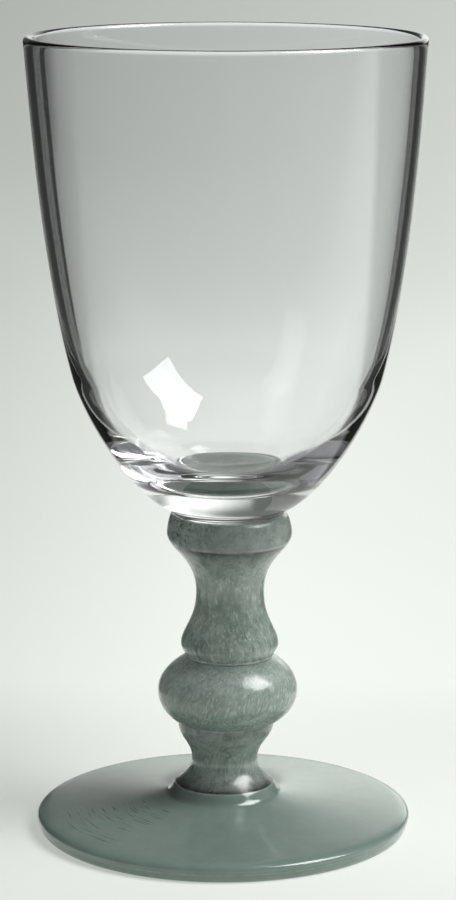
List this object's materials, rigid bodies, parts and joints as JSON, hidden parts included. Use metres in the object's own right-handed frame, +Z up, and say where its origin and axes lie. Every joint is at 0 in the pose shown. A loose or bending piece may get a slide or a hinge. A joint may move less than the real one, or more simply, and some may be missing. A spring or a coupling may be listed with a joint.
{
  "type": "water goblet",
  "caption": "Stemmed drinking glass with a deep clear bowl, a coloured stem of turned knops and a broad round foot.",
  "frame": {"origin": "on the table surface, at the centre of the foot", "axes": "+Z up along the axis of the stem and the bowl; the glass is round, so X and Y are free"},
  "size_m": [0.0888, 0.0888, 0.18],
  "materials": {
    "bowl_glass": "clear colourless glass, fire-polished",
    "stem_glass": "mottled grey-green glass, glossy",
    "foot_glass": "smooth grey-green glass, glossy, slightly translucent"
  },
  "bodies": {
    "root": {"foot": "foot_glass", "lower_knop": "stem_glass", "bulb_knop": "stem_glass", "baluster": "stem_glass", "collar": "stem_glass", "bowl": "bowl_glass"}
  },
  "joints": []
}
